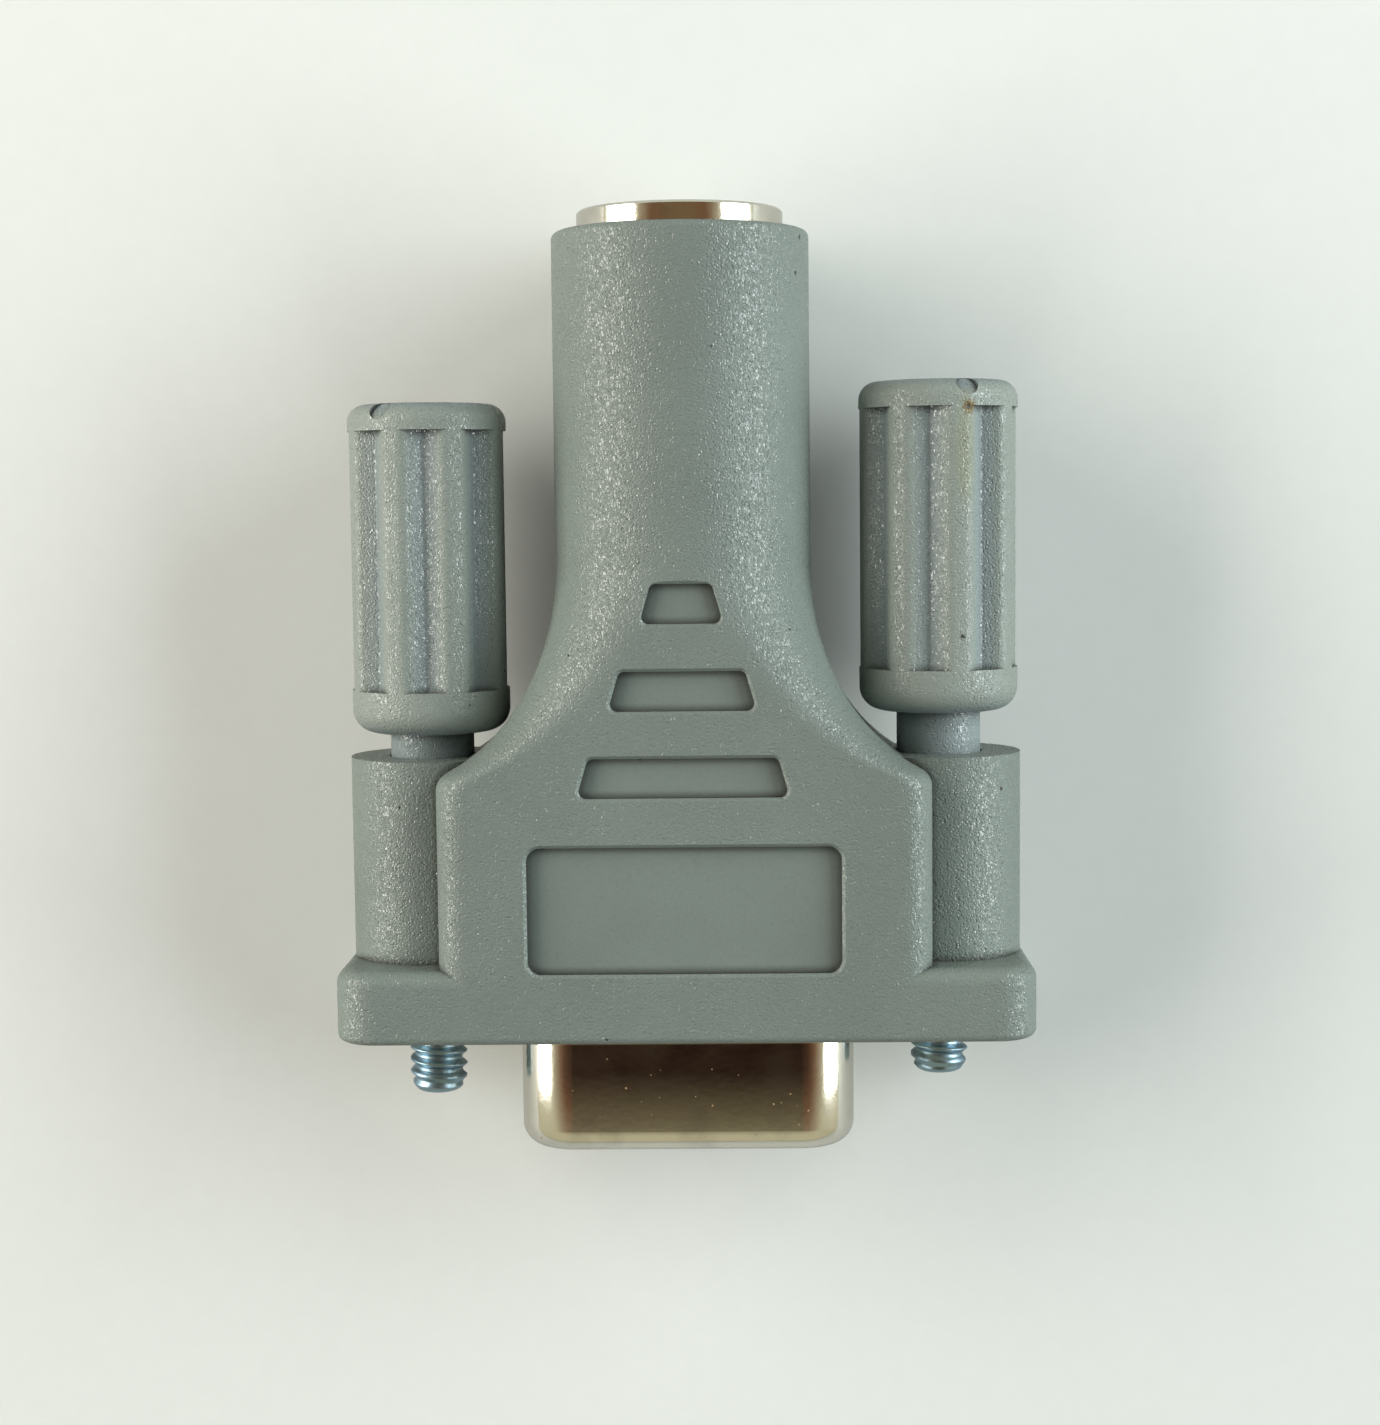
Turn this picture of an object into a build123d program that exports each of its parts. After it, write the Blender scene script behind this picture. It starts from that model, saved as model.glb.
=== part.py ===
from build123d import *
import os
from math import cos, radians, sin, tan

# Serial mouse adapter: a nine-way D socket and a round six-way socket in one moulded hood, with two
# captive thumbscrews. X runs from screw to screw, Y from the D socket's mating plane towards the round
# socket, and Z up out of the face with the recessed windows. The origin is the middle of the mating plane.

# D connector, to the standard sizes of a nine-way shell
JACK_SPACING = 24.99
JACK_HOLE_R = 1.525
NOSE_W = 16.33
NOSE_H = 7.9
NOSE_L = 5.9
NOSE_CORNER_R = 2.6
NOSE_LEAN = 10.0
NOSE_LIP_R = 1.1
NOSE_RIM = 1.25
NOSE_ROOT_R = 0.5
SHEET_T = 0.5
PLATE_W = 30.81
PLATE_H = 11.2
PLATE_CORNER_R = 2.0
CUP_MARGIN = 0.65
CUP_L = 4.0
CONTACT_END = 2.625
CONTACT_ROWS = 2.84
TOP_CONTACTS = 5
BOTTOM_CONTACTS = 4

# Insulators of the D connector
FACE_SET = 0.1
MOUTH_R = 0.62
MOUTH_CHAMFER = 0.25
FACE_WEB = 0.7
INSULATOR_STAND = 0.7
CAVITY_CLEARANCE = 0.05

# D contacts
SOCKET_R = 0.95
SOCKET_BORE_R = 0.53
SOCKET_DEPTH = 5.0
COLLAR_GAP = 0.47
COLLAR_T = 0.6
CUP_TAIL_R = 0.8
CUP_TAIL_L = 3.4
CUP_TAIL_DEPTH = 2.0

# Eyelets
EYELET_WALL = 0.4
EYELET_FLARE = 0.25
EYELET_RIM = 0.5
EYELET_CLINCH_T = 0.4

# Round socket
RING_R = 5.0
RING_WALL = 0.3
RING_L = 11.6
RING_STAND = 1.0
RING_CHAMFER = 0.12
CORE_R = 4.1
CORE_SET = 0.45
PLUG_DEPTH = 6.6
DIN_BASE_T = 3.4
DIN_WEB = 0.9
DIN_MOUTH_R = 0.65
DIN_CONTACT_R = 0.8
DIN_BORE_R = 0.52
DIN_BORE_DEPTH = 5.0
DIN_TAIL_L = 2.6
KEY_W = 2.1
KEY_H = 2.6
KEY_Z = 0.75
DIN_TOP = (2.1, 2.6)
DIN_SIDE = (3.3, 0.0)
DIN_BOTTOM = (1.3, -2.9)

# Wires, from a D contact to a contact of the round socket
WIRE_R = 0.5
WIRE_LEAD = 1.6
WIRE_BEND_R = 3.0
WIRES = {
    "wire_receive": ("dsub_contact_2", "din_contact_6"),
    "wire_transmit": ("dsub_contact_3", "din_contact_2"),
    "wire_ready": ("dsub_contact_4", "din_contact_5"),
    "wire_ground": ("dsub_contact_5", "din_contact_3"),
    "wire_request": ("dsub_contact_7", "din_contact_4"),
}

# Moulded hood
HOOD_H = 12.5
FLANGE_W = 33.6
FLANGE_T = 3.5
FLANGE_CORNER_R = 2.0
FLANGE_EDGE_R = 0.7
FLANGE_FRONT_R = 0.35
BODY_W = 23.6
BODY_EDGE_R = 1.5
SHOULDER_Y = 12.1
SHOULDER_R = 0.8
FLARE_LEAN = 26.0
FLARE_START_PULL = 2.9
FLARE_END_PULL = 5.1
FLARE_END = 22.5
SHOULDER_STATIONS = 4
FLARE_STATIONS = 10
BARREL_END = 38.65
BARREL_FLAT = 0.02
BARREL_EDGE_R = 0.35
BOSS_R = 4.0
BOSS_END = 13.3

# Recessed windows on the hood's top face
WINDOW_DEPTH = 0.5
WINDOW_RIM = 0.15
PANEL_W = 14.9
PANEL_L = 6.05
PANEL_Y = 3.37
PANEL_CORNER_R = 0.65
BARS = 3
BAR_L = 1.88
BAR_Y = 11.75
BAR_PITCH = 4.1
BAR_W = 10.05
BAR_NARROWING = 3.05
BAR_LEAN = 16.0
BAR_CORNER_R = 0.35

# Block moulded round the solder joints
PREMOULD_WALL = 0.2
PREMOULD_SHOULDER = 10.4
PREMOULD_NECK_Y = 20.0

# Thumbscrews. The right one is drawn further out of the hood than the left one. The angles turn the first
# flute, and the round gate mark on the far shoulder, away from +Z.
SCREW_R = 1.42
SCREW_TIP = -3.55
SCREW_TIP_R = 0.6
THREAD_L = 6.0
THREAD_PITCH_R = 1.22
SHANK_R = 1.05
SHANK_IN_GRIP = 8.0
GRIP_Y = 14.5
GRIP_R = 3.87
GRIP_L = 16.0
NEAR_COLLAR_L = 2.1
FAR_COLLAR_L = 1.3
NEAR_ROUND = 1.15
FAR_ROUND = 0.9
FLUTES = 8
FLUTE_DEPTH = 0.62
FLUTE_ANGLE = 30.0
FLUTE_VALLEY_R = 0.22
FLUTE_EDGE_R = 0.6
NECK_R = 2.05
NECK_L = 5.6
NECK_CLEARANCE = 0.1
SCREW_CLEARANCE = 0.15
LIP_Y = 4.6
LIP_L = 1.2
LEFT_DRAW = 0.0
RIGHT_DRAW = 0.85
LEFT_ANGLE = 3.6
RIGHT_ANGLE = -11.0
GATE_R = 0.55
GATE_DEPTH = 0.2
GATE_LEAN = 45.0
LEFT_GATE_ANGLE = -31.0
RIGHT_GATE_ANGLE = 18.0

# Places along the plug axis that several pieces share
CUP_END = 2 * SHEET_T + CUP_L
NOSE_INSIDE = -(NOSE_L - SHEET_T)
FACE_Y = -(NOSE_L - FACE_SET)
CONTACT_FRONT = FACE_Y + FACE_WEB
TAIL_START = CUP_END + INSULATOR_STAND
TAIL_END = TAIL_START + CUP_TAIL_L
RING_FRONT = BARREL_END + RING_STAND
RING_BACK = RING_FRONT - RING_L
DIN_FACE = RING_FRONT - CORE_SET
DIN_BASE = RING_FRONT - PLUG_DEPTH
DIN_BACK = DIN_BASE - DIN_BASE_T
DIN_TAIL_END = DIN_BACK - DIN_TAIL_L

# Sizes that follow from the ones above
CONTACT_PITCH = (NOSE_W - 2 * CONTACT_END) / (TOP_CONTACTS - 1)
COLLAR_R = (CONTACT_PITCH - COLLAR_GAP) / 2
CUP_W = NOSE_W + 2 * CUP_MARGIN
CUP_H = NOSE_H + 2 * CUP_MARGIN
CUP_CORNER_R = NOSE_CORNER_R + CUP_MARGIN
EYELET_R = JACK_HOLE_R + EYELET_WALL
EYELET_RIM_R = EYELET_R + EYELET_RIM
BARREL_R = HOOD_H / 2
BARREL_CORNER_R = BARREL_R - BARREL_FLAT / 2
WINDOW_FLOOR = HOOD_H / 2 - WINDOW_DEPTH
PREMOULD_R = RING_R - RING_WALL
JACK_X = JACK_SPACING / 2
FLUTE_SPREAD = GRIP_R * sin(radians(FLUTE_ANGLE / 2))
FLUTE_RISE = GRIP_R * cos(radians(FLUTE_ANGLE / 2)) - GRIP_R + FLUTE_DEPTH


def across(y, x=0.0):
    """Plane square to the plug axis at y, drawn as seen from the D socket: local x is X, local y is Z."""
    return Plane(origin=(x, y, 0), x_dir=(1, 0, 0), z_dir=(0, -1, 0))


def row(count, z):
    """Contact places of one row, the first contact on the +X side."""
    return [(CONTACT_PITCH * ((count - 1) / 2 - i), z) for i in range(count)]


def pair(place):
    """The place itself and its mirror image, the -X one first."""
    return [(-place[0], place[1]), place]


def keep(part, name):
    """Labels a finished piece and writes its STEP file."""
    part.label = name
    export_step(part, f"parts/{name}.step")


class DOutline(BaseSketchObject):
    """D shape with its wide side up, whose width is taken across the rounded flanks."""

    def __init__(self, width, height, corner_r, mode=Mode.ADD):
        lean = radians(NOSE_LEAN)
        top = width / 2 + corner_r * (tan(lean) + 1 / cos(lean) - 1)
        bottom = top - height * tan(lean)
        with BuildSketch() as outline:
            with BuildLine():
                Polyline(
                    (-top, height / 2),
                    (top, height / 2),
                    (bottom, -height / 2),
                    (-bottom, -height / 2),
                    close=True,
                )
            make_face()
            fillet(outline.vertices(), corner_r)
        super().__init__(outline.sketch, mode=mode)


def numbered(name, places):
    """The places by name and number, counted from 1."""
    return {f"{name}_{number}": place for number, place in enumerate(places, start=1)}


os.makedirs("parts", exist_ok=True)
DSUB_ROWS = row(TOP_CONTACTS, CONTACT_ROWS / 2) + row(BOTTOM_CONTACTS, -CONTACT_ROWS / 2)
DSUB_CONTACTS = numbered("dsub_contact", DSUB_ROWS)
DIN_CONTACTS = numbered("din_contact", pair(DIN_BOTTOM) + pair(DIN_SIDE) + pair(DIN_TOP))
JACK_PLACES = pair((JACK_X, 0))
THUMBSCREWS = (
    ("left", -JACK_X, LEFT_DRAW, LEFT_ANGLE, LEFT_GATE_ANGLE),
    ("right", JACK_X, RIGHT_DRAW, RIGHT_ANGLE, RIGHT_GATE_ANGLE),
)

# Inside of the drawn nose, which the front insulator fills
with BuildPart() as nose_core:
    with BuildSketch(across(SHEET_T)):
        DOutline(NOSE_W - 2 * SHEET_T, NOSE_H - 2 * SHEET_T, NOSE_CORNER_R - SHEET_T)
    extrude(amount=SHEET_T - NOSE_INSIDE)
    fillet(nose_core.faces().sort_by(Axis.Y)[0].edges(), NOSE_LIP_R - SHEET_T)

# Front shell: flange plate with the drawn nose, open where the insulator's face shows
with BuildPart() as dsub_front_shell:
    with BuildSketch(across(SHEET_T)):
        RectangleRounded(PLATE_W, PLATE_H, PLATE_CORNER_R)
    extrude(amount=SHEET_T)
    with BuildSketch(across(0)):
        DOutline(NOSE_W, NOSE_H, NOSE_CORNER_R)
    extrude(amount=NOSE_L)
    nose_front = dsub_front_shell.faces().sort_by(Axis.Y)[0]
    fillet(nose_front.edges(), NOSE_LIP_R)
    plate_front = dsub_front_shell.faces().filter_by(Plane.XZ).sort_by(Axis.Y)[1]
    fillet(plate_front.inner_wires()[0].edges(), NOSE_ROOT_R)
    add(nose_core.part, mode=Mode.SUBTRACT)
    with BuildSketch(across(0)):
        DOutline(NOSE_W - 2 * NOSE_RIM, NOSE_H - 2 * NOSE_RIM, NOSE_CORNER_R - NOSE_RIM)
    extrude(amount=NOSE_L, mode=Mode.SUBTRACT)
    with Locations(*(across(0, x) for x, z in JACK_PLACES)):
        CounterSinkHole(EYELET_R, EYELET_R + EYELET_FLARE, SHEET_T, counter_sink_angle=90)
keep(dsub_front_shell.part, "dsub_front_shell")

# Rear shell: second flange plate with a drawn cup, open at the back
with BuildPart() as dsub_rear_shell:
    with BuildSketch(across(2 * SHEET_T)):
        RectangleRounded(PLATE_W, PLATE_H, PLATE_CORNER_R)
    extrude(amount=SHEET_T)
    with BuildSketch(across(CUP_END)):
        DOutline(CUP_W, CUP_H, CUP_CORNER_R)
    extrude(amount=CUP_L)
    with BuildSketch(across(CUP_END)):
        DOutline(CUP_W - 2 * SHEET_T, CUP_H - 2 * SHEET_T, CUP_CORNER_R - SHEET_T)
    extrude(amount=CUP_END - SHEET_T, mode=Mode.SUBTRACT)
    with BuildSketch(across(2 * SHEET_T)):
        with Locations(*JACK_PLACES):
            Circle(EYELET_R)
    extrude(amount=SHEET_T, mode=Mode.SUBTRACT)
keep(dsub_rear_shell.part, "dsub_rear_shell")

# Front insulator: fills the nose and shows its face, with nine countersunk mouths
with BuildPart() as dsub_front_insulator:
    add(nose_core.part)
    with BuildSketch(across(NOSE_INSIDE)):
        DOutline(NOSE_W - 2 * NOSE_RIM, NOSE_H - 2 * NOSE_RIM, NOSE_CORNER_R - NOSE_RIM)
    extrude(amount=NOSE_INSIDE - FACE_Y)
    with BuildSketch(across(SHEET_T)):
        with Locations(*DSUB_CONTACTS.values()):
            Circle(SOCKET_R + CAVITY_CLEARANCE)
    extrude(amount=SHEET_T - CONTACT_FRONT, mode=Mode.SUBTRACT)
    with BuildSketch(across(CONTACT_FRONT)):
        with Locations(*DSUB_CONTACTS.values()):
            Circle(MOUTH_R)
    extrude(amount=FACE_WEB, mode=Mode.SUBTRACT)
    insulator_face = dsub_front_insulator.faces().sort_by(Axis.Y)[0]
    chamfer([wire.edges()[0] for wire in insulator_face.inner_wires()], MOUTH_CHAMFER)
keep(dsub_front_insulator.part, "dsub_front_insulator")

# Rear insulator: sits in the rear shell's cup and clamps the contacts' collars
with BuildPart() as dsub_rear_insulator:
    with BuildSketch(across(TAIL_START)):
        DOutline(CUP_W - 2 * SHEET_T, CUP_H - 2 * SHEET_T, CUP_CORNER_R - SHEET_T)
    extrude(amount=TAIL_START - SHEET_T)
    with BuildSketch(across(TAIL_START)):
        with Locations(*DSUB_CONTACTS.values()):
            Circle(CUP_TAIL_R + CAVITY_CLEARANCE)
    extrude(amount=TAIL_START - SHEET_T, mode=Mode.SUBTRACT)
    with BuildSketch(across(SHEET_T + COLLAR_T)):
        with Locations(*DSUB_CONTACTS.values()):
            Circle(COLLAR_R + CAVITY_CLEARANCE)
    extrude(amount=COLLAR_T, mode=Mode.SUBTRACT)
keep(dsub_rear_insulator.part, "dsub_rear_insulator")

# D contacts: socket at the front, collar at the joint of the insulators, solder cup at the back
for name, (x, z) in DSUB_CONTACTS.items():
    with BuildPart() as dsub_contact:
        with BuildSketch(across(SHEET_T)):
            with Locations((x, z)):
                Circle(SOCKET_R)
        extrude(amount=SHEET_T - CONTACT_FRONT)
        with BuildSketch(across(SHEET_T + COLLAR_T)):
            with Locations((x, z)):
                Circle(COLLAR_R)
        extrude(amount=COLLAR_T)
        with BuildSketch(across(TAIL_END)):
            with Locations((x, z)):
                Circle(CUP_TAIL_R)
        extrude(amount=TAIL_END - SHEET_T - COLLAR_T)
        with BuildSketch(across(CONTACT_FRONT + SOCKET_DEPTH)):
            with Locations((x, z)):
                Circle(SOCKET_BORE_R)
        extrude(amount=SOCKET_DEPTH, mode=Mode.SUBTRACT)
        with BuildSketch(across(TAIL_END)):
            with Locations((x, z)):
                Circle(WIRE_R)
        extrude(amount=CUP_TAIL_DEPTH, mode=Mode.SUBTRACT)
    keep(dsub_contact.part, name)

# Eyelets: rivet the two plates together round the screw holes. They are flared flush with the front plate
# and clinched over the rear one.
for side, x in (("left", -JACK_X), ("right", JACK_X)):
    with BuildPart() as eyelet:
        with BuildSketch():
            with Locations((x, 0)):
                Polygon(
                    (JACK_HOLE_R, 0),
                    (EYELET_R + EYELET_FLARE, 0),
                    (EYELET_R, EYELET_FLARE),
                    (EYELET_R, 2 * SHEET_T),
                    (EYELET_RIM_R, 2 * SHEET_T),
                    (EYELET_RIM_R, 2 * SHEET_T + EYELET_CLINCH_T),
                    (JACK_HOLE_R, 2 * SHEET_T + EYELET_CLINCH_T),
                    align=None,
                )
        revolve(axis=Axis((x, 0, 0), (0, 1, 0)))
    keep(eyelet.part, f"{side}_eyelet")

# Shield ring of the round socket
with BuildPart() as din_shield:
    with BuildSketch(across(RING_FRONT)):
        Circle(RING_R)
        Circle(RING_R - RING_WALL, mode=Mode.SUBTRACT)
    extrude(amount=RING_L)
    chamfer(din_shield.faces().sort_by(Axis.Y)[-1].edges(), RING_CHAMFER)
keep(din_shield.part, "din_shield")

# Base of the round socket's insulator: a plug in the ring, which holds the contacts' rear ends
with BuildPart() as din_base:
    with BuildSketch(across(DIN_BASE)):
        Circle(PREMOULD_R)
        with Locations(*DIN_CONTACTS.values()):
            Circle(DIN_CONTACT_R + CAVITY_CLEARANCE, mode=Mode.SUBTRACT)
    extrude(amount=DIN_BASE_T)
keep(din_base.part, "din_base")

# Post of the round socket's insulator: stands on the base inside the space for the plug's skirt
with BuildPart() as din_insulator:
    with BuildSketch(across(DIN_FACE)):
        Circle(CORE_R)
    extrude(amount=DIN_FACE - DIN_BASE)
    with BuildSketch(across(DIN_FACE)):
        with Locations(*DIN_CONTACTS.values()):
            Circle(DIN_MOUTH_R)
    extrude(amount=DIN_WEB, mode=Mode.SUBTRACT)
    with BuildSketch(across(DIN_FACE - DIN_WEB)):
        with Locations(*DIN_CONTACTS.values()):
            Circle(DIN_CONTACT_R + CAVITY_CLEARANCE)
    extrude(amount=DIN_FACE - DIN_WEB - DIN_BASE, mode=Mode.SUBTRACT)
    with BuildSketch(across(DIN_FACE)):
        with Locations((0, KEY_Z)):
            Rectangle(KEY_W, KEY_H)
    extrude(amount=PLUG_DEPTH - CORE_SET, mode=Mode.SUBTRACT)
keep(din_insulator.part, "din_insulator")

# Contacts of the round socket: socket in the core, solder tail behind it
for name, (x, z) in DIN_CONTACTS.items():
    with BuildPart() as din_contact:
        with BuildSketch(across(DIN_FACE - DIN_WEB)):
            with Locations((x, z)):
                Circle(DIN_CONTACT_R)
        extrude(amount=DIN_FACE - DIN_WEB - DIN_BACK)
        with BuildSketch(across(DIN_BACK)):
            with Locations((x, z)):
                Circle(WIRE_R)
        extrude(amount=DIN_TAIL_L)
        with BuildSketch(across(DIN_FACE - DIN_WEB)):
            with Locations((x, z)):
                Circle(DIN_BORE_R)
        extrude(amount=DIN_BORE_DEPTH, mode=Mode.SUBTRACT)
    keep(din_contact.part, name)

# Wires: soldered into the cups at one end and to the tails at the other
wires = []
for name, (dsub_end, din_end) in WIRES.items():
    start_x, start_z = DSUB_CONTACTS[dsub_end]
    end_x, end_z = DIN_CONTACTS[din_end]
    with BuildPart() as wire:
        with BuildLine() as route:
            FilletPolyline(
                (start_x, TAIL_END - CUP_TAIL_DEPTH, start_z),
                (start_x, TAIL_END + WIRE_LEAD, start_z),
                (end_x, DIN_TAIL_END - WIRE_LEAD, end_z),
                (end_x, DIN_TAIL_END, end_z),
                radius=WIRE_BEND_R,
            )
        with BuildSketch(Plane(origin=route.line @ 0, z_dir=route.line % 0)):
            Circle(WIRE_R)
        sweep(path=route.line)
    keep(wire.part, name)
    wires.append(wire.part)

# Outside of the block round the solder joints, which is also the space inside the hood
with BuildPart() as premould_form:
    with BuildSketch(across(PREMOULD_SHOULDER)) as premould_section:
        RectangleRounded(CUP_W + 2 * PREMOULD_WALL, CUP_H + 2 * PREMOULD_WALL, CUP_CORNER_R)
    extrude(amount=PREMOULD_SHOULDER - CUP_END)
    with BuildSketch(across(PREMOULD_NECK_Y)) as premould_neck:
        Circle(PREMOULD_R)
    extrude(amount=PREMOULD_NECK_Y - DIN_BACK)
    loft(sections=[premould_section.sketch, premould_neck.sketch], ruled=True)

# Block round the solder joints: takes the contacts' tails and the wires
with BuildPart() as inner_premould:
    add(premould_form.part)
    with BuildSketch(across(TAIL_START)):
        DOutline(CUP_W - 2 * SHEET_T, CUP_H - 2 * SHEET_T, CUP_CORNER_R - SHEET_T)
    extrude(amount=TAIL_START - CUP_END, mode=Mode.SUBTRACT)
    with BuildSketch(across(TAIL_END)):
        with Locations(*DSUB_CONTACTS.values()):
            Circle(CUP_TAIL_R)
    extrude(amount=CUP_TAIL_L, mode=Mode.SUBTRACT)
    with BuildSketch(across(DIN_BACK)):
        with Locations(*DIN_CONTACTS.values()):
            Circle(WIRE_R)
    extrude(amount=DIN_TAIL_L, mode=Mode.SUBTRACT)
    for wire_solid in wires:
        add(wire_solid, mode=Mode.SUBTRACT)
keep(inner_premould.part, "inner_premould")

# Outline of the hood's flare in plan: a rounded shoulder, then a hollow curve that ends along the barrel
shoulder_turn = radians(90 - FLARE_LEAN)
shoulder_centre = Vector(BODY_W / 2 - SHOULDER_R, SHOULDER_Y)
flare_start = shoulder_centre + Vector(cos(shoulder_turn), sin(shoulder_turn)) * SHOULDER_R
flare_heading = Vector(-sin(shoulder_turn), cos(shoulder_turn))
with BuildLine() as flare_outline:
    CenterArc(shoulder_centre, SHOULDER_R, 0, 90 - FLARE_LEAN)
    Bezier(
        flare_start,
        flare_start + flare_heading * FLARE_START_PULL,
        (BARREL_R, FLARE_END - FLARE_END_PULL),
        (BARREL_R, FLARE_END),
    )
shoulder_arc, flare_curve = flare_outline.line.edges().sort_by(Axis.Y)
flare_points = [shoulder_arc @ (i / SHOULDER_STATIONS) for i in range(1, SHOULDER_STATIONS + 1)]
flare_points += [flare_curve @ (i / (FLARE_STATIONS + 1)) for i in range(1, FLARE_STATIONS + 1)]

# Outlines of the windows on their floor: a panel over the flange, then bars that get shorter towards the
# barrel
with BuildSketch(Plane.XY.offset(WINDOW_FLOOR)) as windows:
    with Locations((0, PANEL_Y + PANEL_L / 2)):
        RectangleRounded(PANEL_W, PANEL_L, PANEL_CORNER_R)
    for bar in range(BARS):
        with BuildSketch(Plane.XY.offset(WINDOW_FLOOR), mode=Mode.PRIVATE) as bar_outline:
            with Locations((0, BAR_Y + BAR_L / 2 + bar * BAR_PITCH)):
                Trapezoid(BAR_W - bar * BAR_NARROWING, BAR_L, 90 - BAR_LEAN)
            fillet(bar_outline.vertices(), BAR_CORNER_R)
        add(bar_outline.sketch)

# Moulded hood, in one piece: flange, body, flare, barrel and the two screw bosses. Its sections run from a
# rounded rectangle at the shoulder to a circle, drawn with hair-thin flats so that every section has eight
# edges.
with BuildPart() as moulded_hood:
    with BuildSketch(across(FLANGE_T)):
        RectangleRounded(FLANGE_W, HOOD_H, FLANGE_CORNER_R)
    extrude(amount=FLANGE_T)
    flange_faces = moulded_hood.faces().filter_by(Plane.XZ).sort_by(Axis.Y)
    fillet(flange_faces[0].edges(), FLANGE_FRONT_R)
    fillet(flange_faces[-1].edges(), FLANGE_EDGE_R)
    with BuildSketch(across(SHOULDER_Y)) as body_section:
        RectangleRounded(BODY_W, HOOD_H, BODY_EDGE_R)
    extrude(amount=SHOULDER_Y - FLANGE_EDGE_R)
    flare_sections = [body_section.sketch]
    for point in flare_points:
        share = (point.Y - SHOULDER_Y) / (FLARE_END - SHOULDER_Y)
        corner_r = BODY_EDGE_R + (BARREL_CORNER_R - BODY_EDGE_R) * share
        with BuildSketch(across(point.Y), mode=Mode.PRIVATE) as flare_section:
            RectangleRounded(2 * point.X, HOOD_H, corner_r)
        flare_sections.append(flare_section.sketch)
    with BuildSketch(across(BARREL_END)) as barrel_section:
        RectangleRounded(2 * BARREL_R, HOOD_H, BARREL_CORNER_R)
    extrude(amount=BARREL_END - FLARE_END)
    flare_sections.append(barrel_section.sketch.moved(Location((0, FLARE_END - BARREL_END, 0))))
    loft(sections=flare_sections)
    fillet(moulded_hood.faces().filter_by(Plane.XZ).sort_by(Axis.Y)[-1].edges(), BARREL_EDGE_R)
    with BuildSketch(across(BOSS_END)):
        with Locations(*JACK_PLACES):
            Circle(BOSS_R)
    extrude(amount=BOSS_END - FLANGE_T + FLANGE_EDGE_R)

    # Space inside: round socket, block round the joints, rear shell's cup, flange plates and eyelets
    with BuildSketch(across(BARREL_END)):
        Circle(RING_R)
    extrude(amount=BARREL_END - RING_BACK, mode=Mode.SUBTRACT)
    add(premould_form.part, mode=Mode.SUBTRACT)
    with BuildSketch(across(CUP_END)):
        DOutline(CUP_W, CUP_H, CUP_CORNER_R)
    extrude(amount=CUP_L, mode=Mode.SUBTRACT)
    with BuildSketch(across(2 * SHEET_T)):
        RectangleRounded(PLATE_W, PLATE_H, PLATE_CORNER_R)
    extrude(amount=2 * SHEET_T, mode=Mode.SUBTRACT)
    with BuildSketch(across(2 * SHEET_T + EYELET_CLINCH_T)):
        with Locations(*JACK_PLACES):
            Circle(EYELET_RIM_R)
    extrude(amount=EYELET_CLINCH_T, mode=Mode.SUBTRACT)

    # Screw bores: wide for the grip's neck, a lip that keeps the thread in, then clear of the thread
    with BuildSketch(across(GRIP_Y)):
        with Locations(*JACK_PLACES):
            Circle(NECK_R + NECK_CLEARANCE)
    extrude(amount=GRIP_Y - LIP_Y - LIP_L, mode=Mode.SUBTRACT)
    with BuildSketch(across(BOSS_END)):
        with Locations(*JACK_PLACES):
            Circle(SHANK_R + SCREW_CLEARANCE)
    extrude(amount=BOSS_END, mode=Mode.SUBTRACT)
    with BuildSketch(across(LIP_Y)):
        with Locations(*JACK_PLACES):
            Circle(SCREW_R + SCREW_CLEARANCE)
    extrude(amount=LIP_Y, mode=Mode.SUBTRACT)

    # Recessed windows with a bevelled rim
    extrude(windows.sketch, amount=HOOD_H, mode=Mode.SUBTRACT)
    rims = windows.sketch.moved(Location((0, 0, WINDOW_DEPTH - WINDOW_RIM)))
    extrude(rims, amount=2 * WINDOW_RIM, taper=-45, mode=Mode.SUBTRACT)
keep(moulded_hood.part, "moulded_hood")

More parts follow.
